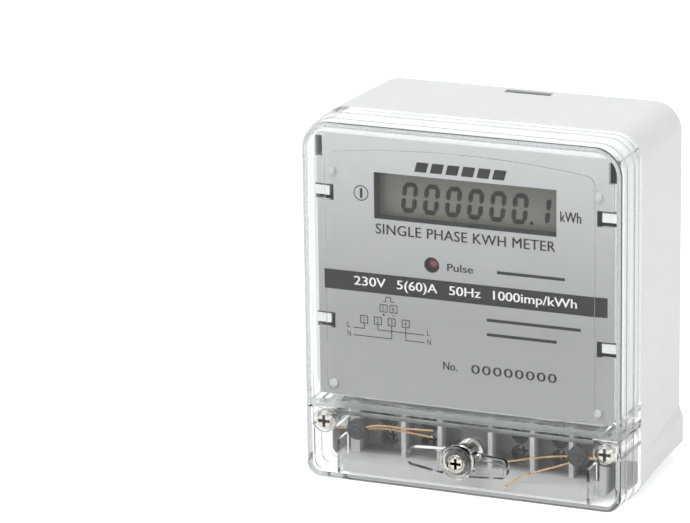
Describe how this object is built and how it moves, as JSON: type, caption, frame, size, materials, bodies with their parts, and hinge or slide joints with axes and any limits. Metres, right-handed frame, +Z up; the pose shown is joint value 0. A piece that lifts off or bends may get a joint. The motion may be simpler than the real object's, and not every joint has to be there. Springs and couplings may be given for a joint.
{
  "type": "electricity meter",
  "caption": "Single-phase rail-mounted electricity meter: white case, clear sealed register cover over a display, clear terminal cover held by a winged screw.",
  "frame": {"origin": "centre of the bounding box's bottom, on the surface the meter stands on", "axes": "+X to the meter's right as its display is read, -Y out of the front cover, +Y into the wall, +Z up"},
  "size_m": [0.108, 0.0706, 0.12],
  "materials": {
    "white_abs": "fine-textured moulded white ABS",
    "clear_cover": "clear polycarbonate, moulded",
    "frame_white": "white moulded inner frame",
    "block_grey": "light grey flame-retardant moulding",
    "plate_silver": "printed satin aluminium",
    "bezel_dark": "dark bezel",
    "lcd_green": "reflective display cell",
    "clear_pin": "clear push pins",
    "board_green": "solder-masked laminate",
    "chip_black": "moulded epoxy",
    "tin": "tinned metal",
    "led_red": "tinted lens",
    "film_blue": "coated",
    "copper": "bright copper",
    "brass": "machined brass",
    "screw_steel": "nickel-plated steel",
    "clamp_steel": "plated steel, in the shade of its cell",
    "seal_grey": "crimped seal",
    "latch_grey": "grey acetal",
    "hanger_grey": "grey acetal"
  },
  "bodies": {
    "meter": {"base_housing": "white_abs", "clear_cover": "clear_cover", "cover_screws": "screw_steel", "register_frame": "frame_white", "nameplate": "plate_silver", "nameplate_pins": "clear_pin", "lcd_holder": "bezel_dark", "lcd_glass": "lcd_green", "lcd_pins": "tin", "main_pcb": "board_green", "pcb_screws": "screw_steel", "metering_chip": "chip_black", "microcontroller": "chip_black", "optocouplers": "chip_black", "crystal": "tin", "resistors": "film_blue", "pulse_led": "led_red", "film_capacitor": "film_blue", "electrolytic_capacitors": "chip_black", "varistor": "film_blue", "current_shunt": "copper", "neutral_link": "copper", "sensing_leads": "copper", "terminal_block": "block_grey", "knob_insert": "clamp_steel", "seal_left": "seal_grey", "seal_right": "seal_grey", "latch_spring": "tin", "seal_wire_left_upper": "copper", "seal_wire_left_lower": "copper", "seal_wire_right_upper": "copper", "seal_wire_right_lower": "copper", "terminal_clamp_1": "brass", "terminal_clamp_2": "brass", "terminal_clamp_3": "brass", "terminal_clamp_4": "brass", "pulse_terminal_five": "brass", "pulse_terminal_six": "brass"},
    "terminal_cover": {"terminal_cover": "clear_cover"},
    "knob_carrier": {"knob_washer": "screw_steel"},
    "winged_knob": {"wing_knob": "clear_cover", "knob_neck": "clear_cover", "wing_screw": "screw_steel"},
    "rail_latch": {"din_latch": "latch_grey"},
    "hanger": {"wall_hanger": "hanger_grey"},
    "terminal_screw_1_lower": {"terminal_screw_1_lower": "clamp_steel"},
    "terminal_screw_1_upper": {"terminal_screw_1_upper": "clamp_steel"},
    "terminal_screw_2_lower": {"terminal_screw_2_lower": "clamp_steel"},
    "terminal_screw_2_upper": {"terminal_screw_2_upper": "clamp_steel"},
    "terminal_screw_3_lower": {"terminal_screw_3_lower": "clamp_steel"},
    "terminal_screw_3_upper": {"terminal_screw_3_upper": "clamp_steel"},
    "terminal_screw_4_lower": {"terminal_screw_4_lower": "clamp_steel"},
    "terminal_screw_4_upper": {"terminal_screw_4_upper": "clamp_steel"},
    "pulse_screw_five": {"pulse_screw_five": "clamp_steel"},
    "pulse_screw_six": {"pulse_screw_six": "clamp_steel"}
  },
  "joints": [
    {"name": "terminal_cover_pull", "type": "slide", "parent": "meter", "child": "terminal_cover", "axis": [0, -1, 0], "range_m": [0, 0.06]},
    {"name": "knob_advance", "type": "slide", "parent": "terminal_cover", "child": "knob_carrier", "axis": [0, -1, 0], "range_m": [0, 0.00352]},
    {"name": "knob_turn", "type": "hinge", "parent": "knob_carrier", "child": "winged_knob", "pos_m": [0, -0.0293, 0.0126], "axis": [0, -1, 0], "range_deg": [0, 1800]},
    {"name": "rail_latch_slide", "type": "slide", "parent": "meter", "child": "rail_latch", "axis": [0, 0, -1], "range_m": [0, 0.004], "stiffness_N_per_m": 400, "springref_m": -0.004, "deforming": ["latch_spring"]},
    {"name": "hanger_slide", "type": "slide", "parent": "meter", "child": "hanger", "axis": [0, 0, 1], "range_m": [0, 0.011]},
    {"name": "terminal_screw_1_lower_turn", "type": "hinge", "parent": "meter", "child": "terminal_screw_1_lower", "pos_m": [-0.031, -0.0073, 0.0107], "axis": [0, -1, 0], "continuous": true},
    {"name": "terminal_screw_1_upper_turn", "type": "hinge", "parent": "meter", "child": "terminal_screw_1_upper", "pos_m": [-0.031, -0.0073, 0.017], "axis": [0, -1, 0], "continuous": true},
    {"name": "terminal_screw_2_lower_turn", "type": "hinge", "parent": "meter", "child": "terminal_screw_2_lower", "pos_m": [-0.0168, -0.0073, 0.0107], "axis": [0, -1, 0], "continuous": true},
    {"name": "terminal_screw_2_upper_turn", "type": "hinge", "parent": "meter", "child": "terminal_screw_2_upper", "pos_m": [-0.0168, -0.0073, 0.017], "axis": [0, -1, 0], "continuous": true},
    {"name": "terminal_screw_3_lower_turn", "type": "hinge", "parent": "meter", "child": "terminal_screw_3_lower", "pos_m": [0.01395, -0.0073, 0.0107], "axis": [0, -1, 0], "continuous": true},
    {"name": "terminal_screw_3_upper_turn", "type": "hinge", "parent": "meter", "child": "terminal_screw_3_upper", "pos_m": [0.01395, -0.0073, 0.017], "axis": [0, -1, 0], "continuous": true},
    {"name": "terminal_screw_4_lower_turn", "type": "hinge", "parent": "meter", "child": "terminal_screw_4_lower", "pos_m": [0.0276, -0.0073, 0.0107], "axis": [0, -1, 0], "continuous": true},
    {"name": "terminal_screw_4_upper_turn", "type": "hinge", "parent": "meter", "child": "terminal_screw_4_upper", "pos_m": [0.0276, -0.0073, 0.017], "axis": [0, -1, 0], "continuous": true},
    {"name": "pulse_screw_five_turn", "type": "hinge", "parent": "meter", "child": "pulse_screw_five", "pos_m": [0.03695, -0.0073, 0.0107], "axis": [0, -1, 0], "continuous": true},
    {"name": "pulse_screw_six_turn", "type": "hinge", "parent": "meter", "child": "pulse_screw_six", "pos_m": [0.04125, -0.0073, 0.0107], "axis": [0, -1, 0], "continuous": true}
  ],
  "couplings": [
    {"joint": "knob_advance", "follows": "knob_turn", "m_per_rad": 0.00011141}
  ]
}
